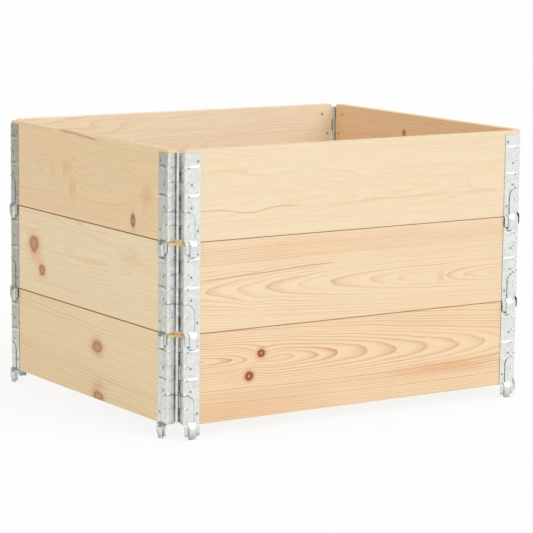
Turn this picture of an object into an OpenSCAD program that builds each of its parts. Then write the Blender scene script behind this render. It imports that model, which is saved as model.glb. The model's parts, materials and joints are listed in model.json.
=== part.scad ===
// Stack of three folding wooden pallet collars.
// Each collar is four boards joined by four barrel hinges of pressed sheet steel.
// The hinge leaves wrap the board ends, and their tabs lap over the collar below.

/* [Collar] */
// Length over the outer faces of the boards
collar_l = 960; // [700:10:1200]
// Width over the outer faces of the boards
collar_w = 780; // [500:10:1000]
// Height of one board
board_h = 200; // [180:5:240]
// Thickness of a board
board_t = 20; // [18:0.5:25]
// Round along the edges of a board
edge_r = 1.6; // [0.5:0.1:2.5]
// Round of a board's end corners, seen on its face
corner_r = 8; // [4:0.5:10]
// Length of the wane on the upper outer edge of the top left board
wane_l = 400; // [200:10:420]
// Height and width of the wane where it is deepest
wane_h = 9; // [3:0.5:12]
// Distance of the wane's middle from the middle of its board, towards the front
wane_shift = 55; // [-60:5:60]

/* [Hinge barrel] */
// Sheet thickness of the leaves
sheet = 1.5; // [1:0.1:2]
// Diameter of the hinge pin
pin_d = 6; // [5:0.1:8]
// Radial running clearance between pin and knuckle
pin_clear = 0.06; // [0.02:0.01:0.1]
// Height of the pin's upset heads
pin_head_h = 1.2; // [0.6:0.1:2]
// Distance from the boards' inner faces in to the hinge axis
axis_inset = 1.5; // [1.2:0.1:3]
// Number of knuckles in a barrel
knuckles = 6; // [4:2:8]
// Gap between neighbouring knuckles
knuckle_gap = 0.8; // [0.4:0.1:1.5]
// Drop of the leaf's top edge below the board's top
leaf_drop = 7.5; // [6:0.5:9]
// Height of the barrel's lower end over the board's bottom
barrel_lift = 6.5; // [6:0.5:10]
// Length of the relief slit beside each knuckle
slit_l = 7; // [3:0.5:9]

/* [Leaf] */
// Width of the flange on the board's face
flange_w = 40; // [36:1:50]
// Inside radius of the bend round the board's end
bend_r = 2; // [1:0.1:3]
// Round of the horizontal ribs, seen from their ends
rib_r = 8; // [5:0.5:10]
// Height of the pressed ribs and the tongue over the flange
rib_proud = 1.4; // [0.8:0.1:1.6]
// Distance from the bend's end to a rib
rib_start = 3; // [2.5:0.5:5]
// Margin between a rib and the flange's free edge
rib_margin = 1.5; // [1.5:0.5:3]
// Height of the bend's stiffening dimples over the bend
dimple_proud = 1; // [0.3:0.1:1.2]
// Diameter of the relief holes beside the dimples
relief_d = 3.2; // [2:0.1:3.6]
// Space from the bend's end to the relief holes in the flange
relief_gap = 4; // [3.5:0.5:5]
// Start of the tongue's round, from the bend's outer side
arch_start = 6; // [5:0.5:9]
// Drop of the tongue's top below its knuckle joint
arch_drop = 3; // [2:0.5:5]
// Space from the tongue's side to the far column of rivets
arch_rivet_gap = 8; // [6:0.5:9]

/* [Tab] */
// Reach of a tab below its board
tab_drop = 30; // [28:1:34]
// Reach of the tab's flat wings below their board
wing_drop = 24; // [20:1:26]
// Height over the board's bottom where the tab starts to step out
step_top = 2; // [1:0.5:2.5]
// Depth below the board's bottom where the step ends
step_bottom = 1.5; // [1:0.5:2]
// Clearance between a tab and the ribs of the leaf below
tab_clear = 0.5; // [0.3:0.1:1.5]
// Distance from the flange's sides in to the tab's sides
tab_inset = 1; // [0.5:0.5:4]
// Chamfer of the wings' lower corners
tab_chamfer = 3; // [2:0.5:6]
// Width of the tab's hollow bulge
bulge_w = 18; // [14:1:22]
// Height of the bulge over the tab's wings
bulge_h = 4.5; // [3:0.5:6]
// Round of the bulge's sides
bulge_r = 5; // [4:0.5:6]
// Height over the board's bottom where the bulge starts to rise out of the flange
crown_top = 8.5; // [7:0.5:12]
// Depth below the board's bottom where the bulge has its full height
crown_foot = 6; // [3:0.5:9]

/* [Rivets] */
// Rivet shank diameter
rivet_d = 5; // [4:0.1:5.5]
// Radial clearance of a rivet in its hole
rivet_clear = 0.05; // [0.02:0.01:0.2]
// Rivets in each leaf
rivet_count = 4; // [4:1:5]
// Distance of the first and last rivet from the board's top and bottom
rivet_end = 25; // [20:1:26]
// Distance of the far rivets from the flange's free edge
rivet_edge = 7; // [5.5:0.5:9]
// Distance of the near rivets from the bend's outer side
rivet_bend = 17; // [14:0.5:18]
// Diameter of the outer end
rivet_outer_d = 6.2; // [5.8:0.1:7]
// Height of the outer end over the flange
rivet_outer_h = 0.5; // [0.3:0.1:0.6]
// Diameter of the blind hole in the outer end
rivet_hole_d = 2.6; // [1.5:0.1:3]
// Depth of the blind hole
rivet_hole_h = 2; // [1:0.5:6]
// Diameter of the head on the inside of the board
rivet_inner_d = 8; // [7:0.1:10]
// Height of the inner head over the board
rivet_inner_h = 0.6; // [0.4:0.1:0.8]

/* [Hidden] */
$fn = 64;
pine = "#e6cda0";
zinc = "#c3c6c6";
bright_zinc = "#d6d8d8";
dull_zinc = "#948d80";

// Oversize of cutting solids, so that no cut ends flush with a face
over = 1;
// Overlap of the ribs and the tongue with the flat sheet under them
bite = 0.2;
pin_r = pin_d / 2;
knuckle_in = pin_r + pin_clear;
knuckle_out = knuckle_in + sheet;
// Hinge axis, measured in from both outer faces of a corner
axis_in = board_t + axis_inset;
// Faces of the wrap across a board's end: the open corner's side, then the wood's
wrap_x = axis_in + knuckle_in;
board_end = wrap_x + sheet;
bend_out = bend_r + sheet;
// Round of a board's upright end edges, a little easier than the bend over them
end_r = bend_r + 0.5;
// Where the wrap stops beside the other leaf's knuckles
wrap_stop = axis_in - knuckle_out - knuckle_gap;
seam_w = knuckle_gap;
leaf_top = board_h - leaf_drop;
knuckle_pitch = (leaf_top - barrel_lift) / knuckles;
// Joints between knuckles, counted down from the leaf's top
function joint_z(n) = leaf_top - n * knuckle_pitch;
rib_joints = [1, 3];
rib_l = flange_w - bend_out - rib_start - rib_margin;
// Round that fades out a rib's ends, seen from above: its bow passes over the rib's middle
rib_bow = 1.5 * rib_proud;
rib_fade_r = (rib_l * rib_l / 4 + rib_bow * rib_bow) / (2 * rib_bow);
// Place of the relief holes in the flange, from the bend's outer side
relief_u = bend_out + relief_gap + relief_d / 2;
arch_joint = 4;
arch_u = flange_w - rivet_edge - arch_rivet_gap;
arch_r = arch_u - arch_start;
arch_z = joint_z(arch_joint) - arch_drop;
// Step of the tab out over the ribs of the leaf below
tab_out = sheet + rib_proud + tab_clear;
// Lower end of the tongue, where the tab's step has come out as far
tongue_foot = step_top - (step_top + step_bottom) * rib_proud / tab_out;
// Outermost face of the bulge
crown_y = -sheet - tab_out - bulge_h;
rivet_pitch = (board_h - 2 * rivet_end) / (rivet_count - 1);
rivet_far = flange_w - rivet_edge;

LEVELS = ["bottom", "middle", "top"];
SIDES = ["front", "right", "back", "left"];
CORNERS = ["front_left", "front_right", "back_right", "back_left"];
// Side i starts at corner i and ends at the next one, seen from outside
function side_l(i) = i % 2 == 0 ? collar_l : collar_w;
function before(i) = SIDES[(i + 3) % 4];
function after(i) = SIDES[(i + 1) % 4];
function board_name(k, i) = str(LEVELS[k], "_", SIDES[i], "_board");
function near_leaf_name(k, i) = str(LEVELS[k], "_", SIDES[i], "_leaf_to_", before(i));
function far_leaf_name(k, i) = str(LEVELS[k], "_", SIDES[i], "_leaf_to_", after(i));
function pin_name(k, i) = str(LEVELS[k], "_", CORNERS[i], "_pin");
function rivets_name(k, i) = str(LEVELS[k], "_", SIDES[i], "_rivets");

// A side's own frame: x along the board from its outer corner, y in from its outer face, z up from its bottom
module at_side(k, i) {
    corner_x = [-collar_l, collar_l, collar_l, -collar_l][i] / 2;
    corner_y = [-collar_w, -collar_w, collar_w, collar_w][i] / 2;
    translate([corner_x, corner_y, tab_drop + k * board_h]) rotate(90 * i) children();
}

// The same frame at the other end of a side, with x running back along the board
module at_far_end(i) {
    translate([side_l(i), 0, 0]) mirror([1, 0, 0]) children();
}

// Wane of the top left board: a long scoop off its upper outer edge, square to that edge's corner
module wane_cut(i) {
    depth = wane_h / sqrt(2);
    scoop_r = wane_l * wane_l / (8 * depth);
    translate([side_l(i) / 2 + wane_shift, 0, board_h]) rotate([45, 0, 0]) translate([0, 0, scoop_r - depth])
        rotate([90, 0, 0]) cylinder(r = scoop_r, h = 4 * board_t, center = true, $fn = 1440);
}

module rounded_rectangle(w, h, r) {
    translate([r, 0]) square([w - 2 * r, h]);
    translate([0, r]) square([w, h - 2 * r]);
    for (x = [r, w - r], y = [r, h - r]) translate([x, y]) circle(r);
}

// Children stand on every rivet axis of one leaf, turned so that their z runs in through the board
module at_rivets() {
    for (n = [0:rivet_count - 1]) {
        outer_row = n == 0 || n == rivet_count - 1;
        u = outer_row ? rivet_far : rivet_bend;
        translate([wrap_x + u, 0, board_h - rivet_end - n * rivet_pitch]) rotate([-90, 0, 0]) children();
    }
}

module rivet_holes() {
    at_rivets() translate([0, 0, -sheet - rib_proud - over])
        cylinder(r = rivet_d / 2 + rivet_clear, h = board_t + sheet + rib_proud + 2 * over);
}

// Planed board with eased edges and round end corners
module board(i, waned) {
    w = side_l(i) - 2 * board_end;
    color(pine) difference() {
        translate([board_end, 0, 0]) intersection() {
            translate([0, board_t, 0]) rotate([90, 0, 0])
                linear_extrude(board_t) rounded_rectangle(w, board_h, corner_r);
            rotate([90, 0, 90]) linear_extrude(w) rounded_rectangle(board_t, board_h, edge_r);
            linear_extrude(board_h) rounded_rectangle(w, board_t, end_r);
        }
        rivet_holes();
        at_far_end(i) rivet_holes();
        if (waned) wane_cut(i);
    }
}

// Plan of the sheet: flange on the face, bend, and wrap across the board's end
module leaf_plan() {
    translate([wrap_x + bend_out, -sheet]) square([flange_w - bend_out, sheet]);
    translate([wrap_x + bend_out, bend_r]) intersection() {
        difference() {
            circle(bend_out);
            circle(bend_r);
        }
        translate([-bend_out, -bend_out]) square(bend_out);
    }
    translate([wrap_x, bend_r]) square([sheet, wrap_stop - bend_r]);
}

// Plan of one rolled knuckle, with the open seam where the curl ends
module knuckle_plan() {
    translate([wrap_x, wrap_stop]) square([sheet, axis_in - wrap_stop]);
    translate([axis_in, axis_in]) difference() {
        circle(knuckle_out);
        circle(knuckle_in);
        rotate(-90) translate([0, -seam_w / 2]) square([knuckle_out + over, seam_w]);
    }
}

// Knuckles of one leaf: every second one, counted down from the top
module leaf_knuckles(first) {
    for (n = [first:2:knuckles - 1])
        translate([0, 0, joint_z(n + 1) + knuckle_gap / 2])
            linear_extrude(knuckle_pitch - knuckle_gap) knuckle_plan();
}

// Shallow ribs across the flange at two of the knuckle joints, which fade out towards their ends
module flange_ribs() {
    u0 = wrap_x + bend_out + rib_start;
    for (n = rib_joints) translate([u0, -sheet - rib_proud, joint_z(n)]) intersection() {
        translate([-over, rib_r, 0]) rotate([0, 90, 0]) cylinder(r = rib_r, h = rib_l + 2 * over);
        translate([rib_l / 2, rib_fade_r + rib_proud - rib_bow, -rib_r])
            cylinder(r = rib_fade_r, h = 2 * rib_r);
        translate([-over, -over, -rib_r]) cube([rib_l + 2 * over, rib_proud + over + bite, 2 * rib_r]);
    }
}

// Front view of the tongue: a round from the bend, then straight down into the tab's step
module tongue_outline() {
    translate([arch_start, arch_z - arch_r]) circle(arch_r);
    translate([0, tongue_foot]) square([arch_start, arch_z - tongue_foot]);
    translate([0, tongue_foot]) square([arch_u, arch_z - arch_r - tongue_foot]);
}

// Tongue of the flange, pressed out more and more away from the bend, which leads down into the tab
module tongue() {
    reach = arch_u + over - bend_out;
    rise = (rib_proud + bite) * reach / (arch_u - bend_out);
    translate([wrap_x, 0, 0]) intersection() {
        rotate([90, 0, 0]) linear_extrude(sheet + rib_proud + over) tongue_outline();
        translate([bend_out, bite - sheet, -tab_drop]) linear_extrude(tab_drop + board_h)
            polygon([[0, 0], [reach, -rise], [reach, 0]]);
    }
}

// Dimples that stiffen the bend, one at each joint between knuckles, open to the board behind them
module bend_dimples() {
    difference() {
        for (n = [1:knuckles - 1])
            translate([wrap_x + bend_out, bend_r, joint_z(n)]) sphere(bend_out + dimple_proud);
        translate([board_end, 0, 0]) cube([flange_w, board_t, board_h]);
        translate([wrap_x + sheet / 2, bend_out + sheet, 0]) cube([flange_w, board_t, board_h]);
    }
}

// Side view of the tab's wings, as y and z, with their step out over the leaf below
module tab_profile() {
    polygon([
        [0, step_top], [-tab_out, -step_bottom], [-tab_out, -wing_drop],
        [-tab_out - sheet, -wing_drop], [-tab_out - sheet, -step_bottom], [-sheet, step_top]
    ]);
}

// Front view of the tab's wings, with their lower corners cut away
module tab_outline() {
    u0 = wrap_x + tab_inset;
    u1 = wrap_x + flange_w - tab_inset;
    polygon([
        [u0, step_top], [u0, -wing_drop + tab_chamfer], [u0 + tab_chamfer, -wing_drop],
        [u1 - tab_chamfer, -wing_drop], [u1, -wing_drop + tab_chamfer], [u1, step_top]
    ]);
}

// Plan of the bulge with round sides, from its outermost face in to the flange's inner face
module bulge_plan(wall) {
    r = bulge_r - wall;
    side = bulge_w / 2 - bulge_r;
    translate([wrap_x + flange_w / 2, crown_y + bulge_r]) {
        for (x = [-side, side]) translate([x, 0]) circle(r);
        translate([-side, -r]) square([2 * side, r]);
        translate([-side - r, 0]) square([2 * (side + r), -crown_y]);
    }
}

// Upright form under a sloping crown, between the bulge's outer side and the given points of its inner side
module bulge_form(wall, foot, inner_side) {
    outer_side = [[wall, crown_top], [crown_y + wall, -crown_foot], [crown_y + wall, -tab_drop - foot]];
    intersection() {
        translate([0, 0, -tab_drop - foot]) linear_extrude(crown_top + tab_drop + foot) bulge_plan(wall);
        translate([wrap_x, 0, 0]) rotate([90, 0, 90]) linear_extrude(flange_w)
            polygon(concat(outer_side, inner_side));
    }
}

// Bulge of the tab, out from the inner faces of the flange and the wings
module bulge() {
    bulge_form(0, 0, [[-tab_out, -tab_drop], [-tab_out, -step_bottom], [0, step_top]]);
}

// Hollow behind the bulge, open below and to the board
module bulge_hollow() {
    bulge_form(sheet, over, [[board_t, -tab_drop - over], [board_t, crown_top]]);
}

// Flat wings of the tab that laps over the collar below
module tab_wings() {
    intersection() {
        translate([wrap_x, 0, 0]) rotate([90, 0, 90]) linear_extrude(flange_w) tab_profile();
        rotate([90, 0, 0]) linear_extrude(tab_out + sheet + over) tab_outline();
    }
}

// Cut that leaves the wrap's lower edge arched from the bend up to the barrel
module wrap_arch() {
    arch = barrel_lift - step_top;
    translate([wrap_x - over, 0, 0]) rotate([90, 0, 90]) linear_extrude(sheet + 2 * over) {
        translate([bend_r + arch, step_top]) intersection() {
            circle(arch);
            translate([-arch - over, -over]) square(arch + 2 * over);
        }
        translate([bend_r + arch, step_top - over]) square([axis_in, arch + over]);
    }
}

// Relief at each joint between knuckles: a slit in the wrap that ends in a hole, and a hole in the flange
module relief_cuts() {
    for (n = [1:knuckles - 1]) translate([wrap_x, 0, joint_z(n)]) {
        translate([-over, wrap_stop - slit_l, 0]) {
            translate([0, 0, -knuckle_gap / 2]) cube([sheet + 2 * over, slit_l + over, knuckle_gap]);
            rotate([0, 90, 0]) cylinder(d = relief_d, h = sheet + 2 * over);
        }
        translate([relief_u, over, 0]) rotate([90, 0, 0])
            cylinder(d = relief_d, h = sheet + rib_proud + 2 * over);
    }
}

// One pressed hinge leaf on the end of a board, with its own set of knuckles
module leaf(first) {
    color(zinc) difference() {
        union() {
            translate([0, 0, step_top]) linear_extrude(leaf_top - step_top) leaf_plan();
            flange_ribs();
            bend_dimples();
            tongue();
            tab_wings();
            bulge();
        }
        bulge_hollow();
        wrap_arch();
        relief_cuts();
        rivet_holes();
    }
    color(zinc) leaf_knuckles(first);
}

// Hinge pin with an upset head at each end
module pin() {
    color(bright_zinc) translate([axis_in, axis_in, 0]) {
        translate([0, 0, barrel_lift - pin_head_h])
            cylinder(r = pin_r, h = leaf_top - barrel_lift + 2 * pin_head_h);
        for (z = [barrel_lift - pin_head_h, leaf_top]) translate([0, 0, z])
            cylinder(r = (pin_r + knuckle_out) / 2, h = pin_head_h);
    }
}

// Rivets of both leaves on a board, each with a drilled outer end and a flat inner head
module rivets(i) {
    outer_z = -sheet - rivet_outer_h;
    profile = [
        [rivet_hole_d / 2, outer_z], [rivet_outer_d / 2, outer_z], [rivet_outer_d / 2, -sheet],
        [rivet_d / 2, -sheet], [rivet_d / 2, board_t], [rivet_inner_d / 2, board_t],
        [rivet_inner_d / 2 - rivet_inner_h, board_t + rivet_inner_h], [0, board_t + rivet_inner_h],
        [0, outer_z + rivet_hole_h], [rivet_hole_d / 2, outer_z + rivet_hole_h]
    ];
    color(dull_zinc) {
        at_rivets() rotate_extrude() polygon(profile);
        at_far_end(i) at_rivets() rotate_extrude() polygon(profile);
    }
}

for (k = [0:2]) for (i = [0:3]) at_side(k, i) {
    board(i, k == 2 && i == 3);
    leaf(1);
    at_far_end(i) leaf(0);
    pin();
    rivets(i);
}
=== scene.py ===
# Pine pallet collars, stacked three high, in a plain white studio.
import json
import math
import random

import bpy
from mathutils import Matrix, Vector

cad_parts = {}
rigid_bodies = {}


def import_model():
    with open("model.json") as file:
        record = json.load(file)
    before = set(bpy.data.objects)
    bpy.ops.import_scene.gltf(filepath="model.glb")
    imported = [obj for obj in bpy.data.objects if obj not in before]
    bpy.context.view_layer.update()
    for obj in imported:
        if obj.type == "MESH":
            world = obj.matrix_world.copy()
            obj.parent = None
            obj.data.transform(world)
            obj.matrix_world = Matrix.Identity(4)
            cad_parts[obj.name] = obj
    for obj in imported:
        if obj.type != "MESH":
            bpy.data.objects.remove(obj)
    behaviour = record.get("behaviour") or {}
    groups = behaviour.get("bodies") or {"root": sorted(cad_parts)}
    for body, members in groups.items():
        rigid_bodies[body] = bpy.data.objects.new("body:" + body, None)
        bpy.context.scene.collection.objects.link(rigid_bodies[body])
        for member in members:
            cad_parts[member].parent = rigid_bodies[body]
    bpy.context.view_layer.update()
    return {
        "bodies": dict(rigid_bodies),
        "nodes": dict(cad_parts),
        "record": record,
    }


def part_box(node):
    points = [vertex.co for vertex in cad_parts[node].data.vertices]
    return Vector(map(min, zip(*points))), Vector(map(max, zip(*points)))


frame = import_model()
scene = bpy.context.scene
mm = 0.001

levels = ["bottom", "middle", "top"]
turns = {"front": 0, "right": 90, "back": 180, "left": 270}  # degrees about Z from the front board


def hexColour(text):  # sRGB hex to linear
    parts = [int(text[i:i + 2], 16) / 255 for i in (1, 3, 5)]
    linear = [c / 12.92 if c <= 0.04045 else ((c + 0.055) / 1.055) ** 2.4 for c in parts]
    return (*linear, 1)


def addNode(tree, kind, settings=None, links=None):
    node = tree.nodes.new(kind)
    for name, value in (settings or {}).items():
        setattr(node, name, value)
    for name, source in (links or {}).items():
        if isinstance(source, bpy.types.NodeSocket):
            tree.links.new(source, node.inputs[name])
        else:
            node.inputs[name].default_value = source
    return node


def newMaterial(name):
    material = bpy.data.materials.new(name)
    material.use_nodes = True
    tree = material.node_tree
    return material, tree, tree.nodes["Principled BSDF"]


def fillRamp(node, stops):  # stops are (place, colour) or (place, level), the two ends first
    marks = node.color_ramp.elements
    for i, (place, value) in enumerate(stops):
        mark = marks[i] if i < 2 else marks.new(place)
        mark.position = place
        mark.color = value if isinstance(value, tuple) else (value, value, value, 1)


# Pine boards, planed and untreated: each is one slice through curved growth rings.
# The eye sees pale earlywood fading into orange latewood that ends on a sharp line, arches where the slice
# runs along the log, reddish knots with the lines flowing round them, and a dull silky surface.
# Places on a board are in mm from its centre: along (left to right from outside) and up.
pine = {
    "early": "#f2dab6",         # earlywood
    "inner": None,              # earlywood on the inner face, where it differs: painted light, lighter and warmer, for light bouncing round inside the collar
    "late": "#dca06a",          # latewood at its darkest
    "heart": "#e9bd92",         # reddish heartwood
    "ringWidth": 5.0,           # mm between rings
    "depth": 45,                # mm from the face to the log's heart, at the board's middle
    "tilt": 0.055,              # how that depth changes along the board, which spaces the arches
    "pith": 0,                  # mm up from the board's middle to the log's heart
    "climb": 0.0,               # how that changes along the board
    "wander": 9,                # mm that the rings wander over a long stretch
    "ripple": 1.6,              # mm that they ripple over a short one
    "contrast": 0.6,            # how far the latewood darkens
    "ringShare": (0.22, 1.0),   # latewood in the faintest and the strongest ring
    "fading": (0.45, 1.15),     # how far patches of the face fade or deepen the rings
    "heartBand": None,          # (from, to) mm up, where heartwood tints the board
    "swells": [],               # (along, up, half length, half height, mm) where rings bulge round a branch
    "knots": [],                # (along, up, half width, half height, darkness) of ring knots
    "soundKnots": [],           # the same for knots with the branch's wood still whole
    "blushes": [],              # (along, up, half width, half height, strength) of soft orange round a branch
    "streaks": [],              # (from, to, up, rise per mm, half height, dip place, dip, colour, strength)
    "seam": 0.8,                # how dark the painted shade and grime are at the edges where boards meet
    "seamColour": "#7d4a2c",
    "seamReach": 1.7,           # mm from the edge
}
# The painted shade and grime of the front's seams are paler than the rest, and the left side's more orange
# and wider.
sideLooks = {
    "front": {"seamColour": "#a5683f"},
    "left": {"seamColour": "#8c4204", "seamReach": 2.0, "seam": 0.92},
}
boardLooks = {
    "top_front": {
        "early": "#f1ddbc", "late": "#e3b27c", "contrast": 0.30, "ringWidth": 6.5, "depth": 60, "tilt": 0.045,
        "pith": -18, "wander": 12,
        "swells": [(330, -10, 60, 26, 9), (-290, -66, 60, 18, -5)],
        "streaks": [
            (-475, -140, -35, 0.0, 1.1, -288, -10, "#d2996a", 0.55),
            (-110, 270, -36, 0.02, 0.9, 40, 3, "#dda56e", 0.42),
        ],
    },
    "middle_front": {
        "early": "#f2dcba", "late": "#da9c66", "contrast": 0.7, "ringWidth": 4.7, "depth": 30, "tilt": -0.055,
        "pith": -17.5, "climb": -0.026, "wander": 2.5, "ripple": 0.8,
        "ringShare": (0.35, 1.0), "fading": (0.6, 1.15), "heartBand": (38, 96),
        "swells": [(-268, 22, 28, 14, 3.5), (-285, -46, 36, 16, -3.5), (233, -26, 36, 22, 4)],
        "blushes": [(236, -28, 14, 18, 0.35)],
        "streaks": [(-450, -40, 22, 0.045, 1.3, 0, 0, "#c98a58", 0.6)],
    },
    "bottom_front": {
        "early": "#f2d9b4", "late": "#d08c57", "contrast": 0.85, "ringWidth": 5.0, "depth": 32, "tilt": 0.066,
        "pith": 21.6, "climb": -0.036, "wander": 2.5, "ripple": 0.7,
        "ringShare": (0.4, 1.0), "fading": (0.8, 1.15),
        "swells": [(-256, 42, 40, 22, 7), (-287, -6, 40, 20, 7)],
        "knots": [(-256, 42, 11, 10, 1.0), (-287, -6, 12, 11, 1.0)],
        "blushes": [(-330, -78, 300, 46, 0.3), (250, -40, 190, 20, 0.5)],
    },
    "top_left": {
        "early": "#f2d7ab", "late": "#dd9f66", "contrast": 0.32, "ringWidth": 6.0, "depth": 70, "tilt": 0.02,
        "pith": -8, "wander": 14,
        "swells": [(-97, -20, 46, 38, 20), (262, -24, 40, 36, 20), (80, -20, 60, 30, -8)],
        "knots": [(214, -71, 9, 16, 0.85)],
        "blushes": [(-62, -30, 26, 34, 0.4), (270, -12, 32, 34, 0.45), (-90, 14, 30, 22, 0.3)],
        "streaks": [(-140, 62, 95, -0.045, 2.0, 0, 0, "#c27d52", 0.55)],
    },
    "middle_left": {
        "early": "#f6e1ba", "late": "#dba168", "contrast": 0.34, "ringWidth": 6.4, "depth": 64, "tilt": 0.03,
        "pith": 30, "wander": 12,
        "swells": [(-250, 17, 34, 26, 9), (-210, -40, 34, 24, 8), (201, 52, 50, 22, 10)],
        "soundKnots": [(-250, 17, 24, 19, 0.8), (-210, -40, 17, 13, 0.85)],
        "blushes": [(-236, -8, 46, 40, 0.3), (201, 48, 60, 26, 0.2)],
    },
    "bottom_left": {
        "early": "#f5dfb4", "late": "#d8985f", "contrast": 0.5, "ringWidth": 7.2, "depth": 46, "tilt": 0.02,
        "pith": -128, "climb": -0.03, "wander": 4, "ripple": 1.2,
        "swells": [(53, 22, 58, 30, 11), (58, -92, 50, 24, 9), (190, 4, 80, 30, -5)],
        "soundKnots": [(53, 22, 25, 16, 0.75), (58, -92, 24, 12, 0.75)],
        "blushes": [(53, 22, 40, 34, 0.4), (58, -74, 34, 30, 0.45)],
    },
    "top_back": {
        "early": "#f4dcb6", "inner": "#fff0d6", "late": "#e0a872", "contrast": 0.40,
        "tilt": 0.05, "depth": 50,
    },
    "top_right": {
        "early": "#f2d8b0", "inner": "#fbd7ab", "late": "#d59a68", "contrast": 0.42,
        "tilt": -0.04, "depth": 56,
        "swells": [(65, 52, 30, 20, 7)],
        "knots": [(65, 52, 7, 7, 0.8)],
    },
}

# Ranges for a board that the camera doesn't see, which gets its own draw of the same species.
drawnPine = {
    "early": ["#f4deb9", "#f2d8b0", "#f3dbb4"],
    "depth": (40, 66),
    "tilt": (0.035, 0.06),      # either way
    "pith": (-30, 30),
    "ringWidth": (4.6, 6.2),
    "contrast": (0.4, 0.65),
    "knotCount": (1, 3),
    "knotAlong": (-300, 300),
    "knotUp": (-70, 70),
    "knotHalf": (8, 12),        # mm half width and half height
    "knotDark": (0.6, 1),
    "swell": (38, 22, 7),       # mm half length, half height and bulge of the rings round each knot
}

# What is the same in every board.
grain = {
    "noiseStep": 7.3,           # how far apart the noises are drawn
    "boardStep": 3.1,           # and the boards
    "years": (4, 1.6),          # rings over which wide and narrow years come and go, and how far they shift
    "ringSteps": 31,            # keeps one board's draw of strong rings apart from the next one's
    "ring": [(0, 0.12), (1, 0), (0.06, 0), (0.45, 0.07), (0.78, 0.5), (0.92, 1), (0.97, 0.75)],  # one year
    "heartTint": 0.34,          # how strong a heartwood band is
    "heartCore": 0.3,           # how much of its half width is full
    "innerFrom": (0.25, 0.8),   # share of the thickness where the inner face's painted light starts and is full
    "blush": "#dfa877",
    "blushFade": (1.2, 0.1),    # half sizes out where a blush starts and is full
    "blushRipple": 0.2,         # half sizes for each mm that the rings ripple
    "knotRipple": 0.18,
    "knotReach": 2,             # half sizes out where a knot's colours end
    "dipHalf": 42,              # mm half length of a streak's dip
    "streakRipple": 1.5,        # mm for each mm that the rings ripple
    "streakFade": (2, 0.4),     # half heights out where a streak starts and is full
    "streakEnd": 0.7,           # share of its half length where it starts to fade
    "skin": (3.5, 1.5),         # mm under a face where a seam's shade starts and is full
    "seamCore": 0.3,            # share of its reach where it is full
    "fibreRelief": 0.6,         # height of the fibre against that of the latewood
    "bumpHeight": 0.25,         # mm between hard latewood and soft earlywood, with fibre
    "bumpStrength": 0.35,
    "roughness": (0.52, 0.66),
    "specular": 0.3,
}

# Noises, each stretched along the board: mm along and across, detail, and the stretch of levels that is used.
grainNoise = {
    "wander": (330, 46, 1, 0.2, 0.8),
    "ripple": (90, 15, 2, 0.2, 0.8),
    "fibre": (46, 1.5, 3, 0.3, 0.7),
    "dash": (16, 1.4, 1, 0.66, 0.78),
    "blotch": (210, 52, 2, 0.32, 0.68),
    "bands": (900, 9, 1, 0.42, 0.7),
}
fibreTone = (0.955, 1.03)       # how far fine fibre darkens and lightens
dashTone = (1.0, 0.88)          # how far resin dashes darken
bandTint = (0, 0.16)            # heartwood in the slow bands

# Colours from a knot's middle out to its reach, the two ends first.
# Ring knots have a pale middle, a dark ring and a reddish halo, sound knots a reddish middle and dark edge.
knotTones = {
    "knots": [(0, "#d2a684"), (1, "#eabd92"), (0.10, "#bd8962"), (0.24, "#80442a"), (0.40, "#a9653e"),
              (0.58, "#d99f72")],
    "soundKnots": [(0, "#cb8d6a"), (1, "#eec598"), (0.20, "#c4815c"), (0.34, "#b3714c"), (0.42, "#a06242"),
                   (0.52, "#dda97e")],
}
knotCover = [(0, 1), (1, 0), (0.4, 1), (0.6, 0.5)]  # how far a knot hides the wood, as shares of its darkness


def drawBoard(name):
    dice = random.Random(name)
    look = {
        "early": dice.choice(drawnPine["early"]),
        "depth": dice.uniform(*drawnPine["depth"]),
        "tilt": dice.choice([-1, 1]) * dice.uniform(*drawnPine["tilt"]),
    }
    for size in ("pith", "ringWidth", "contrast"):
        look[size] = dice.uniform(*drawnPine[size])
    count = dice.randint(*drawnPine["knotCount"])
    spots = [(dice.uniform(*drawnPine["knotAlong"]), dice.uniform(*drawnPine["knotUp"]))
             for _ in range(count)]
    look["swells"] = [(*spot, *drawnPine["swell"]) for spot in spots]
    look["knots"] = [(*spot, dice.uniform(*drawnPine["knotHalf"]), dice.uniform(*drawnPine["knotHalf"]),
                      dice.uniform(*drawnPine["knotDark"])) for spot in spots]
    return look


def ovalReach(tree, local, x, z, halfLong, halfHigh):  # distance from an oval's centre, in its half sizes
    away = addNode(tree, "ShaderNodeVectorMath", {"operation": "MULTIPLY_ADD"},
                   {0: local, 1: (1 / halfLong, 0, 1 / halfHigh),
                    2: (-x / halfLong, 0, -z / halfHigh)}).outputs[0]
    return addNode(tree, "ShaderNodeVectorMath", {"operation": "LENGTH"}, {0: away}).outputs["Value"]


def bell(tree, reach):  # 1 at the centre, falling away round it
    fall = addNode(tree, "ShaderNodeMath", {"operation": "MULTIPLY"}, {0: reach, 1: reach}).outputs[0]
    fall = addNode(tree, "ShaderNodeMath", {"operation": "MULTIPLY"}, {0: fall, 1: -1}).outputs[0]
    return addNode(tree, "ShaderNodeMath", {"operation": "EXPONENT"}, {0: fall}).outputs[0]


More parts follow.
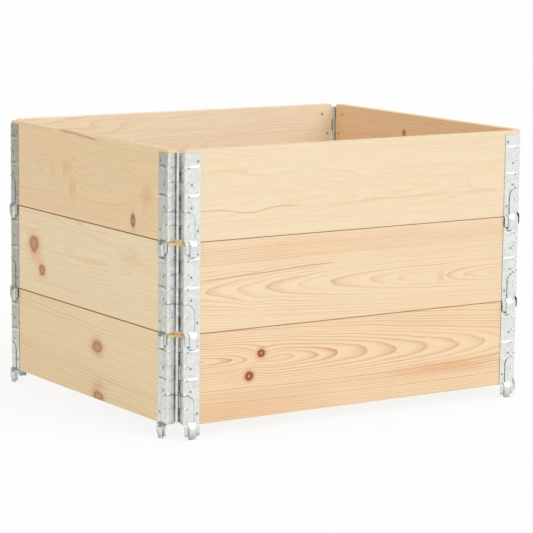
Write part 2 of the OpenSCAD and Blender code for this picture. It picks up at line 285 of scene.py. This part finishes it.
def grainNoises(tree, local, look, seed):  # the fibre as drawn, and every noise fitted to what it drives
    drives = {
        "wander": (-look["wander"], look["wander"]), "ripple": (-look["ripple"], look["ripple"]),
        "fibre": fibreTone, "dash": dashTone, "blotch": look["fading"], "bands": bandTint,
    }
    drawn, fitted = {}, {}
    for kind, (length, width, detail, start, stop) in grainNoise.items():
        stretched = addNode(tree, "ShaderNodeVectorMath", {"operation": "MULTIPLY"},
                            {0: local, 1: (1 / length, 1 / width, 1 / width)}).outputs[0]
        drawn[kind] = addNode(tree, "ShaderNodeTexNoise", {"noise_dimensions": "4D"},
                              {"Vector": stretched, "W": seed + len(drawn) * grain["noiseStep"], "Scale": 1,
                               "Detail": detail, "Roughness": 0.5}).outputs[0]
        fitted[kind] = addNode(tree, "ShaderNodeMapRange", None,
                               {"Value": drawn[kind], "From Min": start, "From Max": stop,
                                "To Min": drives[kind][0], "To Max": drives[kind][1]}).outputs[0]
    return drawn["fibre"], fitted


def latewood(tree, local, look, noise, seed):  # how far each spot is latewood
    # distance from the log's heart, which the board leans away from along its length
    legs = []
    for slope, start in (((look["tilt"], 1, 0), look["depth"]), ((-look["climb"], 0, 1), -look["pith"])):
        leg = addNode(tree, "ShaderNodeVectorMath", {"operation": "DOT_PRODUCT"},
                      {0: local, 1: slope}).outputs["Value"]
        leg = addNode(tree, "ShaderNodeMath", {"operation": "ADD"}, {0: leg, 1: start}).outputs[0]
        legs.append(addNode(tree, "ShaderNodeMath", {"operation": "ADD"},
                            {0: leg, 1: noise["wander"]}).outputs[0])
    offset = addNode(tree, "ShaderNodeCombineXYZ", None, {0: legs[0], 1: legs[1]}).outputs[0]
    radius = addNode(tree, "ShaderNodeVectorMath", {"operation": "LENGTH"}, {0: offset}).outputs["Value"]
    radius = addNode(tree, "ShaderNodeMath", {"operation": "ADD"}, {0: radius, 1: noise["ripple"]}).outputs[0]

    # rings bulge where a branch lies under the face
    for *oval, bulge in look["swells"]:
        radius = addNode(tree, "ShaderNodeMath", {"operation": "MULTIPLY_ADD"},
                         {0: bell(tree, ovalReach(tree, local, *oval)), 1: bulge, 2: radius}).outputs[0]

    # wide and narrow years, then each ring's own share of latewood
    rings, shift = grain["years"]
    years = addNode(tree, "ShaderNodeTexNoise", {"noise_dimensions": "1D"},
                    {"W": radius, "Scale": 1 / (rings * look["ringWidth"]), "Detail": 1}).outputs[0]
    years = addNode(tree, "ShaderNodeMath", {"operation": "MULTIPLY"}, {0: years, 1: shift}).outputs[0]
    phase = addNode(tree, "ShaderNodeMath", {"operation": "MULTIPLY_ADD"},
                    {0: radius, 1: 1 / look["ringWidth"], 2: years}).outputs[0]
    ring = addNode(tree, "ShaderNodeMath", {"operation": "FLOOR"}, {0: phase}).outputs[0]
    ring = addNode(tree, "ShaderNodeMath", {"operation": "ADD"},
                   {0: ring, 1: seed * grain["ringSteps"]}).outputs[0]
    step = addNode(tree, "ShaderNodeMath", {"operation": "FRACT"}, {0: phase}).outputs[0]
    year = addNode(tree, "ShaderNodeValToRGB", None, {0: step})
    fillRamp(year, grain["ring"])
    share = addNode(tree, "ShaderNodeTexWhiteNoise", {"noise_dimensions": "1D"}, {"W": ring}).outputs["Value"]
    faintest, strongest = look["ringShare"]
    share = addNode(tree, "ShaderNodeMapRange", None,
                    {"Value": share, "To Min": faintest, "To Max": strongest}).outputs[0]
    late = addNode(tree, "ShaderNodeMath", {"operation": "MULTIPLY"},
                   {0: year.outputs[0], 1: share}).outputs[0]
    late = addNode(tree, "ShaderNodeMath", {"operation": "MULTIPLY"},
                   {0: late, 1: noise["blotch"]}).outputs[0]
    return addNode(tree, "ShaderNodeMath", {"operation": "MULTIPLY", "use_clamp": True},
                   {0: late, 1: look["contrast"]}).outputs[0]


def earlywood(tree, local, look, noise, thick):  # the pale wood with its heartwood tint and blushes, and painted light on the inner face
    parts = addNode(tree, "ShaderNodeSeparateXYZ", None, {0: local}).outputs
    tint = noise["bands"]
    if look["heartBand"]:
        start, stop = look["heartBand"]
        middle, half = (start + stop) / 2, (stop - start) / 2
        reach = addNode(tree, "ShaderNodeMath", {"operation": "SUBTRACT"},
                        {0: parts[2], 1: middle}).outputs[0]
        reach = addNode(tree, "ShaderNodeMath", {"operation": "ADD"},
                        {0: reach, 1: noise["wander"]}).outputs[0]
        reach = addNode(tree, "ShaderNodeMath", {"operation": "ABSOLUTE"}, {0: reach}).outputs[0]
        band = addNode(tree, "ShaderNodeMapRange", {"interpolation_type": "SMOOTHSTEP"},
                       {"Value": reach, "From Min": half, "From Max": half * grain["heartCore"],
                        "To Min": 0, "To Max": grain["heartTint"]}).outputs[0]
        band = addNode(tree, "ShaderNodeMath", {"operation": "MULTIPLY"},
                       {0: band, 1: noise["blotch"]}).outputs[0]
        tint = addNode(tree, "ShaderNodeMath", {"operation": "ADD"}, {0: tint, 1: band}).outputs[0]
    early = hexColour(look["early"])
    # painted light: a lighter, warmer earlywood on the inner face for light bouncing round inside the collar
    if look["inner"]:
        start, full = (share * thick for share in grain["innerFrom"])
        inside = addNode(tree, "ShaderNodeMapRange", None,
                         {"Value": parts[1], "From Min": start, "From Max": full}).outputs[0]
        early = addNode(tree, "ShaderNodeMix", {"data_type": "RGBA"},
                        {0: inside, 6: early, 7: hexColour(look["inner"])}).outputs[2]
    colour = addNode(tree, "ShaderNodeMix", {"data_type": "RGBA"},
                     {0: tint, 6: early, 7: hexColour(look["heart"])}).outputs[2]
    start, full = grain["blushFade"]
    for *oval, strength in look["blushes"]:
        reach = addNode(tree, "ShaderNodeMath", {"operation": "MULTIPLY_ADD"},
                        {0: noise["ripple"], 1: grain["blushRipple"],
                         2: ovalReach(tree, local, *oval)}).outputs[0]
        cover = addNode(tree, "ShaderNodeMapRange", {"interpolation_type": "SMOOTHSTEP"},
                        {"Value": reach, "From Min": start, "From Max": full, "To Min": 0,
                         "To Max": strength}).outputs[0]
        colour = addNode(tree, "ShaderNodeMix", {"data_type": "RGBA"},
                         {0: cover, 6: colour, 7: hexColour(grain["blush"])}).outputs[2]
    return colour


def addStreaks(tree, local, look, noise, colour):  # resin and wane along a line with one dip in it
    along = addNode(tree, "ShaderNodeSeparateXYZ", None, {0: local}).outputs[0]
    outside, core = grain["streakFade"]
    for start, stop, height, rise, halfHigh, dipAt, dip, tone, strength in look["streaks"]:
        centre, reach = (start + stop) / 2, (stop - start) / 2
        sag = bell(tree, ovalReach(tree, local, dipAt, 0, grain["dipHalf"], math.inf))
        line = addNode(tree, "ShaderNodeVectorMath", {"operation": "DOT_PRODUCT"},
                       {0: local, 1: (-rise, 0, 1)}).outputs["Value"]
        line = addNode(tree, "ShaderNodeMath", {"operation": "MULTIPLY_ADD"},
                       {0: sag, 1: -dip, 2: line}).outputs[0]
        line = addNode(tree, "ShaderNodeMath", {"operation": "MULTIPLY_ADD"},
                       {0: noise["ripple"], 1: grain["streakRipple"], 2: line}).outputs[0]
        line = addNode(tree, "ShaderNodeMath", {"operation": "SUBTRACT"},
                       {0: line, 1: height - rise * centre}).outputs[0]
        line = addNode(tree, "ShaderNodeMath", {"operation": "ABSOLUTE"}, {0: line}).outputs[0]
        line = addNode(tree, "ShaderNodeMapRange", {"interpolation_type": "SMOOTHSTEP"},
                       {"Value": line, "From Min": halfHigh * outside, "From Max": halfHigh * core,
                        "To Min": 0, "To Max": strength}).outputs[0]
        ends = addNode(tree, "ShaderNodeMath", {"operation": "SUBTRACT"}, {0: along, 1: centre}).outputs[0]
        ends = addNode(tree, "ShaderNodeMath", {"operation": "ABSOLUTE"}, {0: ends}).outputs[0]
        ends = addNode(tree, "ShaderNodeMapRange", {"interpolation_type": "SMOOTHSTEP"},
                       {"Value": ends, "From Min": reach, "From Max": reach * grain["streakEnd"]}).outputs[0]
        line = addNode(tree, "ShaderNodeMath", {"operation": "MULTIPLY"}, {0: line, 1: ends}).outputs[0]
        colour = addNode(tree, "ShaderNodeMix", {"data_type": "RGBA"},
                         {0: line, 6: colour, 7: hexColour(tone)}).outputs[2]
    return colour


def addKnots(tree, local, look, noise, colour):
    for kind, tones in knotTones.items():
        for *oval, dark in look[kind]:
            reach = addNode(tree, "ShaderNodeMath", {"operation": "MULTIPLY_ADD"},
                            {0: noise["ripple"], 1: grain["knotRipple"],
                             2: ovalReach(tree, local, *oval)}).outputs[0]
            reach = addNode(tree, "ShaderNodeMath", {"operation": "MULTIPLY"},
                            {0: reach, 1: 1 / grain["knotReach"]}).outputs[0]
            tone = addNode(tree, "ShaderNodeValToRGB", None, {0: reach})
            fillRamp(tone, [(at, hexColour(shade)) for at, shade in tones])
            cover = addNode(tree, "ShaderNodeValToRGB", None, {0: reach})
            fillRamp(cover, [(at, dark * share) for at, share in knotCover])
            colour = addNode(tree, "ShaderNodeMix", {"data_type": "RGBA"},
                             {0: cover.outputs[0], 6: colour, 7: tone.outputs[0]}).outputs[2]
    return colour


def addSeams(tree, local, look, level, halfHigh, halfThick, colour):  # painted shade and grime where boards meet, on both faces
    parts = addNode(tree, "ShaderNodeSeparateXYZ", None, {0: local}).outputs
    start, full = (halfThick - depth for depth in grain["skin"])
    skin = addNode(tree, "ShaderNodeMath", {"operation": "SUBTRACT"}, {0: parts[1], 1: halfThick}).outputs[0]
    skin = addNode(tree, "ShaderNodeMath", {"operation": "ABSOLUTE"}, {0: skin}).outputs[0]
    skin = addNode(tree, "ShaderNodeMapRange", None,
                   {"Value": skin, "From Min": start, "From Max": full, "To Min": 0,
                    "To Max": look["seam"]}).outputs[0]
    start, full = halfHigh - look["seamReach"], halfHigh - grain["seamCore"] * look["seamReach"]
    # painted shade, and some grime, along each edge that meets another board
    for neighbour, sign in ((level + 1, 1), (level - 1, -1)):
        if neighbour in range(len(levels)):
            groove = addNode(tree, "ShaderNodeMapRange", {"interpolation_type": "SMOOTHSTEP"},
                             {"Value": parts[2], "From Min": sign * start, "From Max": sign * full,
                              "To Min": 0, "To Max": skin}).outputs[0]
            colour = addNode(tree, "ShaderNodeMix", {"data_type": "RGBA"},
                             {0: groove, 6: colour, 7: hexColour(look["seamColour"])}).outputs[2]
    return colour


def pineBoard(name, look, seed):
    level, side = name.split("_")
    turn = math.radians(turns[side])
    inward = Vector((-math.sin(turn), math.cos(turn), 0))
    low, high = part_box(name + "_board")
    halfHigh, halfThick = (high - low).z / 2 / mm, abs((high - low).dot(inward)) / 2 / mm
    outer = (low + high) / 2 - inward * halfThick * mm
    material, tree, shader = newMaterial("pinePlaned_" + name)

    # the board's own frame in mm: along, in from the outer face, up
    place = addNode(tree, "ShaderNodeTexCoord").outputs["Object"]
    local = addNode(tree, "ShaderNodeMapping", {"vector_type": "TEXTURE"},
                    {"Vector": place, "Location": outer, "Rotation": (0, 0, turn),
                     "Scale": (mm, mm, mm)}).outputs[0]
    fibre, noise = grainNoises(tree, local, look, seed)
    late = latewood(tree, local, look, noise, seed)
    colour = earlywood(tree, local, look, noise, 2 * halfThick)
    colour = addNode(tree, "ShaderNodeMix", {"data_type": "RGBA"},
                     {0: late, 6: colour, 7: hexColour(look["late"])}).outputs[2]

    # fine fibre and short resin dashes
    grey = addNode(tree, "ShaderNodeMath", {"operation": "MULTIPLY"},
                   {0: noise["fibre"], 1: noise["dash"]}).outputs[0]
    colour = addNode(tree, "ShaderNodeVectorMath", {"operation": "SCALE"},
                     {0: colour, "Scale": grey}).outputs[0]

    colour = addStreaks(tree, local, look, noise, colour)
    colour = addKnots(tree, local, look, noise, colour)
    colour = addSeams(tree, local, look, levels.index(level), halfHigh, halfThick, colour)

    relief = addNode(tree, "ShaderNodeMath", {"operation": "MULTIPLY_ADD"},
                     {0: fibre, 1: grain["fibreRelief"], 2: late}).outputs[0]
    bump = addNode(tree, "ShaderNodeBump", None,
                   {"Strength": grain["bumpStrength"], "Distance": grain["bumpHeight"] * mm,
                    "Height": relief}).outputs[0]
    *_, start, stop = grainNoise["fibre"]
    smoothest, roughest = grain["roughness"]
    rough = addNode(tree, "ShaderNodeMapRange", None,
                    {"Value": fibre, "From Min": start, "From Max": stop, "To Min": smoothest,
                     "To Max": roughest}).outputs[0]
    tree.links.new(colour, shader.inputs["Base Color"])
    tree.links.new(bump, shader.inputs["Normal"])
    tree.links.new(rough, shader.inputs["Roughness"])
    shader.inputs["Specular IOR Level"].default_value = grain["specular"]
    return material


# Mild steel sheet, hot-dip galvanised and then pressed: a bright grey skin with faint crystal spangle,
# rolling streaks and shallow dents, with painted shade, and some grime, in its corners and along the press
# line of its tongue.
sheet = {
    "colour": "#e9ece8",
    "dull": "#c3c6c4",
    # dark grey of the painted shade, with some grime, in corners and along the press line
    "shadeAndGrime": "#6d6f6c",
    "spangle": 7,               # mm across a zinc crystal
    "streak": (60, 1.6),        # mm along and across a rolling streak
    "streakBump": (0.2, 0.1),   # strength and mm
    "streakShare": 0.5,         # of the streaks against the crystals
    "fade": (0.35, 0.8, 0.45),  # levels where crystals and streaks start to dull and are dullest, and how far
    "dent": (15, 0.4),          # mm across and deep, where the press tools marked it
    "mottle": (0.6, 1.35),      # how far crystals thin or thicken the painted shade and grime
    "cornerShadeAndGrime": [                 # painted shade, with some grime, in corners: (mm reach, openness where it starts, how far it covers)
        (3.5, 0.7, 0.5),        # painted shade, and some grime, in tight corners
        (30, 0.86, 0.95),       # painted shade across the open corner of two boards
    ],
    "shut": 0.2,                # openness of a corner where the painted shade is full
    "cornerRays": 6,            # to feel out how open a corner is
    "bendAt": 24.56,            # mm from the corner's outer faces in to the bend
    "tongue": (6, 46.5, 19.4),  # mm from the bend, mm over the board's foot, and radius of the line round it
    "pressLine": (1.7, 0.51, 0.55),  # half width of the painted shade along that line in mm, of its full core, and its strength
    "metallic": 0.85,
    "roughness": (0.30, 0.46),
}


def tongueOutline(tree, place):  # mm from the tongue's outline: a round, then a straight side down
    start, middle, radius = sheet["tongue"]
    foot, top = (corner.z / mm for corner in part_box("bottom_front_board"))
    outer = Vector((-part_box("bottom_left_board")[0].x, -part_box("bottom_front_board")[0].y, 0)) / mm
    spot = addNode(tree, "ShaderNodeVectorMath", {"operation": "SCALE"},
                   {0: place, "Scale": 1 / mm}).outputs[0]
    spot = addNode(tree, "ShaderNodeVectorMath", {"operation": "ABSOLUTE"}, {0: spot}).outputs[0]
    inset = addNode(tree, "ShaderNodeVectorMath", {"operation": "SUBTRACT"}, {0: outer, 1: spot}).outputs[0]
    inset = addNode(tree, "ShaderNodeSeparateXYZ", None, {0: inset}).outputs
    aside = addNode(tree, "ShaderNodeMath", {"operation": "MAXIMUM"}, {0: inset[0], 1: inset[1]}).outputs[0]
    aside = addNode(tree, "ShaderNodeMath", {"operation": "SUBTRACT"},
                    {0: aside, 1: sheet["bendAt"] + start}).outputs[0]
    rise = addNode(tree, "ShaderNodeMath", {"operation": "MULTIPLY_ADD"},
                   {0: inset[2], 1: -1, 2: -foot}).outputs[0]
    rise = addNode(tree, "ShaderNodeMath", {"operation": "FLOORED_MODULO"},
                   {0: rise, 1: top - foot}).outputs[0]
    rise = addNode(tree, "ShaderNodeMath", {"operation": "SUBTRACT"}, {0: rise, 1: middle}).outputs[0]
    away = addNode(tree, "ShaderNodeCombineXYZ", None, {0: aside, 1: rise}).outputs[0]
    away = addNode(tree, "ShaderNodeVectorMath", {"operation": "MAXIMUM"}, {0: away, 1: (0, 0, 0)}).outputs[0]
    away = addNode(tree, "ShaderNodeVectorMath", {"operation": "LENGTH"}, {0: away}).outputs["Value"]
    away = addNode(tree, "ShaderNodeMath", {"operation": "SUBTRACT"}, {0: away, 1: radius}).outputs[0]
    return addNode(tree, "ShaderNodeMath", {"operation": "ABSOLUTE"}, {0: away}).outputs[0]


def galvanisedSheet():
    material, tree, shader = newMaterial("galvanisedSheet_pressed")
    place = addNode(tree, "ShaderNodeTexCoord").outputs["Object"]
    cells = addNode(tree, "ShaderNodeTexVoronoi", None,
                    {"Vector": place, "Scale": 1 / (sheet["spangle"] * mm), "Randomness": 1})
    crystal = addNode(tree, "ShaderNodeSeparateColor", None, {0: cells.outputs["Color"]}).outputs[0]
    length, width = sheet["streak"]
    stretched = addNode(tree, "ShaderNodeVectorMath", {"operation": "MULTIPLY"},
                        {0: place, 1: (1 / (width * mm), 1 / (width * mm), 1 / (length * mm))}).outputs[0]
    streak = addNode(tree, "ShaderNodeTexNoise", None,
                     {"Vector": stretched, "Scale": 1, "Detail": 3, "Roughness": 0.6}).outputs[0]
    mixed = addNode(tree, "ShaderNodeMix", {"data_type": "FLOAT"},
                    {0: sheet["streakShare"], 2: crystal, 3: streak}).outputs[0]
    start, full, most = sheet["fade"]
    fade = addNode(tree, "ShaderNodeMapRange", None,
                   {"Value": mixed, "From Min": start, "From Max": full, "To Min": 0,
                    "To Max": most}).outputs[0]
    colour = addNode(tree, "ShaderNodeMix", {"data_type": "RGBA"},
                     {0: fade, 6: hexColour(sheet["colour"]), 7: hexColour(sheet["dull"])}).outputs[2]

    # painted shade, with some grime, in the corners and along the tongue's press line, thinned and thickened
    # by the crystals
    masks = []
    # painted shade: darker where occlusion shows a corner closes in
    for reach, start, most in sheet["cornerShadeAndGrime"]:
        openness = addNode(tree, "ShaderNodeAmbientOcclusion", {"samples": sheet["cornerRays"]},
                           {"Distance": reach * mm}).outputs["AO"]
        masks.append(addNode(tree, "ShaderNodeMapRange", None,
                             {"Value": openness, "From Min": start, "From Max": sheet["shut"], "To Min": 0,
                              "To Max": most}).outputs[0])
    # painted shade along the tongue's press line, where the pressed step's edge falls into shadow
    start, full, most = sheet["pressLine"]
    masks.append(addNode(tree, "ShaderNodeMapRange", {"interpolation_type": "SMOOTHSTEP"},
                         {"Value": tongueOutline(tree, place), "From Min": start, "From Max": full,
                          "To Min": 0, "To Max": most}).outputs[0])
    thin, thick = sheet["mottle"]
    mottle = addNode(tree, "ShaderNodeMapRange", None,
                     {"Value": crystal, "To Min": thin, "To Max": thick}).outputs[0]
    for mask in masks:
        mask = addNode(tree, "ShaderNodeMath", {"operation": "MULTIPLY", "use_clamp": True},
                       {0: mask, 1: mottle}).outputs[0]
        colour = addNode(tree, "ShaderNodeMix", {"data_type": "RGBA"},
                         {0: mask, 6: colour, 7: hexColour(sheet["shadeAndGrime"])}).outputs[2]

    smoothest, roughest = sheet["roughness"]
    rough = addNode(tree, "ShaderNodeMapRange", None,
                    {"Value": mixed, "To Min": smoothest, "To Max": roughest}).outputs[0]
    across, deep = sheet["dent"]
    dents = addNode(tree, "ShaderNodeTexNoise", None,
                    {"Vector": place, "Scale": 1 / (across * mm), "Detail": 1}).outputs[0]
    bump = addNode(tree, "ShaderNodeBump", None,
                   {"Strength": 1, "Distance": deep * mm, "Height": dents}).outputs[0]
    strength, deep = sheet["streakBump"]
    bump = addNode(tree, "ShaderNodeBump", None,
                   {"Strength": strength, "Distance": deep * mm, "Height": streak, "Normal": bump}).outputs[0]
    tree.links.new(colour, shader.inputs["Base Color"])
    tree.links.new(rough, shader.inputs["Roughness"])
    tree.links.new(bump, shader.inputs["Normal"])
    shader.inputs["Metallic"].default_value = sheet["metallic"]
    return material


# Steel rivets, headed cold and barrel-plated: small, dull and a little brown against the bright sheet.
rivetLook = {
    "colour": "#aea99f",
    "worn": "#cbc8c0",
    "patch": 2.5,               # mm across a worn patch
    "wear": (0.35, 0.65),       # levels of the noise where wear starts and is full
    "roughness": (0.37, 0.57),
    "metallic": 0.8,
}
# Drawn steel pins, zinc plated: the brightest metal, with fine paler patches where the barrels rub.
pinLook = {
    "colour": "#d5d8d8",
    "worn": "#eef0ef",
    "patch": 0.6,
    "wear": (0.35, 0.65),
    "roughness": (0.20, 0.40),
    "metallic": 0.95,
}


def platedSteel(name, look):
    material, tree, shader = newMaterial(name)
    place = addNode(tree, "ShaderNodeTexCoord").outputs["Object"]
    patch = addNode(tree, "ShaderNodeTexNoise", None,
                    {"Vector": place, "Scale": 1 / (look["patch"] * mm), "Detail": 2}).outputs[0]
    start, full = look["wear"]
    share = addNode(tree, "ShaderNodeMapRange", None,
                    {"Value": patch, "From Min": start, "From Max": full}).outputs[0]
    colour = addNode(tree, "ShaderNodeMix", {"data_type": "RGBA"},
                     {0: share, 6: hexColour(look["colour"]), 7: hexColour(look["worn"])}).outputs[2]
    smoothest, roughest = look["roughness"]
    rough = addNode(tree, "ShaderNodeMapRange", None,
                    {"Value": patch, "To Min": smoothest, "To Max": roughest}).outputs[0]
    tree.links.new(colour, shader.inputs["Base Color"])
    tree.links.new(rough, shader.inputs["Roughness"])
    shader.inputs["Metallic"].default_value = look["metallic"]
    return material


def dress(node, material):
    slots = frame["nodes"][node].material_slots
    for slot in slots:
        slot.material = material
    if not slots:
        frame["nodes"][node].data.materials.append(material)


sheetSteel = galvanisedSheet()
rivetSteel = platedSteel("rivetSteel_plated", rivetLook)
pinSteel = platedSteel("pinSteel_drawn", pinLook)
for body, members in frame["record"]["behaviour"]["bodies"].items():
    look = {**pine, **sideLooks.get(body.split("_")[1], {}), **(boardLooks.get(body) or drawBoard(body))}
    seed = grain["boardStep"] * list(frame["bodies"]).index(body)
    for node in members:
        if node.endswith("_board"):
            dress(node, pineBoard(body, look, seed))
        elif "_leaf_to_" in node:
            dress(node, sheetSteel)
        elif node.endswith("_pin"):
            dress(node, pinSteel)
        else:
            dress(node, rivetSteel)
print("materials on", len(frame["nodes"]), "nodes")


# White studio: a pale floor, an even white surround and one large soft key from the front right.
studio = {
    "surround": 0.80,           # light that the surround gives the object
    "keyStrength": 0.82,
    "keyAngle": 40,             # degrees across the key, for soft shadows
    "keyFrom": (0.35, -0.75, 0.62),
    "floorSize": 60,            # metres
    "floorColour": "#fdfdfd",
    "floorGlow": 0.82,          # how far the floor is white to the eye, before the shadow
}


def whiteSeen(tree):  # 1 for rays from the eye, off metal or through glass
    path = addNode(tree, "ShaderNodeLightPath")
    seen = addNode(tree, "ShaderNodeMath", {"operation": "MAXIMUM"},
                   {0: path.outputs["Is Camera Ray"], 1: path.outputs["Is Glossy Ray"]}).outputs[0]
    return addNode(tree, "ShaderNodeMath", {"operation": "MAXIMUM"},
                   {0: seen, 1: path.outputs["Is Transmission Ray"]}).outputs[0]


def flatPiece(name, corner, first, second, material, surface):  # a rectangle from a corner and two sides
    near, aside, across = Vector(corner), Vector(first), Vector(second)
    mesh = bpy.data.meshes.new(name)
    mesh.from_pydata([near, near + aside, near + aside + across, near + across], [], [(0, 1, 2, 3)])
    piece = bpy.data.objects.new(name, mesh)
    scene.collection.objects.link(piece)
    tree = material.node_tree
    tree.links.new(surface, tree.nodes["Material Output"].inputs["Surface"])
    mesh.materials.append(material)
    return piece


world = bpy.data.worlds.new("whiteSurround")
scene.world = world
world.use_nodes = True
tree = world.node_tree
tree.nodes.clear()
level = addNode(tree, "ShaderNodeMapRange", None,
                {"Value": whiteSeen(tree), "To Min": studio["surround"], "To Max": 1}).outputs[0]
glow = addNode(tree, "ShaderNodeBackground", None, {"Color": (1, 1, 1, 1), "Strength": level}).outputs[0]
addNode(tree, "ShaderNodeOutputWorld", None, {"Surface": glow})

# Matt paper floor: white to the eye, but for the object's soft shadow.
material, tree, shader = newMaterial("floorPaper_matt")
tree.nodes.remove(shader)
matt = addNode(tree, "ShaderNodeBsdfDiffuse", None, {"Color": hexColour(studio["floorColour"])}).outputs[0]
white = addNode(tree, "ShaderNodeEmission", None, {"Color": (1, 1, 1, 1), "Strength": 1}).outputs[0]
share = addNode(tree, "ShaderNodeMath", {"operation": "MULTIPLY"},
                {0: whiteSeen(tree), 1: studio["floorGlow"]}).outputs[0]
both = addNode(tree, "ShaderNodeMixShader", None, {0: share, 1: matt, 2: white}).outputs[0]
size = studio["floorSize"]
floor = flatPiece("studioFloor", (-size / 2, -size / 2, 0), (size, 0, 0), (0, size, 0), material, both)

# Dull cards at the left, seen only by the metal: they grey the sheet steel that faces that way.
wall, lift = -1.35, 0.001  # metres: x of the upright cards, and height of the flat ones
cards = {  # colour, corner and two sides in metres
    "cardTall": ("#453d2e", (wall, 0, 0.5), (0, 4, 0), (0, 0, 2.7)),
    "cardLow": ("#ebe4da", (wall, 0, 0), (0, 1.5, 0), (0, 0, 0.5)),
    "cardFar": ("#988f84", (wall, 1.5, 0), (0, 2.5, 0), (0, 0, 0.5)),
    "cardFlat": ("#ebe4da", (wall, -0.2, lift), (0.65, 0, 0), (0, 1, 0)),
    "cardFlatFar": ("#a39b90", (wall, 0.8, lift), (0.65, 0, 0), (0, 2, 0)),
}
for name, (tone, *corners) in cards.items():
    material, tree, shader = newMaterial("cardBoard_" + name)
    tree.nodes.remove(shader)
    dull = addNode(tree, "ShaderNodeEmission", None, {"Color": hexColour(tone), "Strength": 1}).outputs[0]
    cardBoard = flatPiece(name, *corners, material, dull)
    for kind in ("camera", "diffuse", "shadow", "transmission"):
        setattr(cardBoard, "visible_" + kind, False)

key = bpy.data.objects.new("keyLight", bpy.data.lights.new("keyLight", "SUN"))
key.data.energy = studio["keyStrength"]
key.data.angle = math.radians(studio["keyAngle"])
key.rotation_euler = Vector(studio["keyFrom"]).to_track_quat("Z", "Y").to_euler()
scene.collection.objects.link(key)
print("studio ready")


# Camera fitted to the seams and edges in a square picture.
lens = {
    "focal": 162.22,            # mm
    "sensor": 36,               # mm
    "place": (-3.096428, -4.725947, 1.19034),
    "azimuth": 33.334,          # degrees from +Y towards +X
    "elevation": 9.047,         # degrees that it looks down
    "roll": -0.652,
}
azimuth, elevation, roll = (math.radians(lens[angle]) for angle in ("azimuth", "elevation", "roll"))
flat = math.cos(elevation)  # share of the look that is level
ahead = Vector((math.sin(azimuth) * flat, math.cos(azimuth) * flat, -math.sin(elevation)))
right = ahead.cross(Vector((0, 0, 1))).normalized()
down = ahead.cross(right)
rolledRight = math.cos(roll) * right + math.sin(roll) * down
rolledUp = math.sin(roll) * right - math.cos(roll) * down
camera = bpy.data.objects.new("camera", bpy.data.cameras.new("camera"))
camera.data.lens = lens["focal"]
camera.data.sensor_width = lens["sensor"]
axes = Matrix((rolledRight, rolledUp, -ahead)).transposed()
camera.matrix_world = Matrix.Translation(lens["place"]) @ axes.to_4x4()
scene.collection.objects.link(camera)
scene.camera = camera

scene.view_settings.view_transform = "Standard"
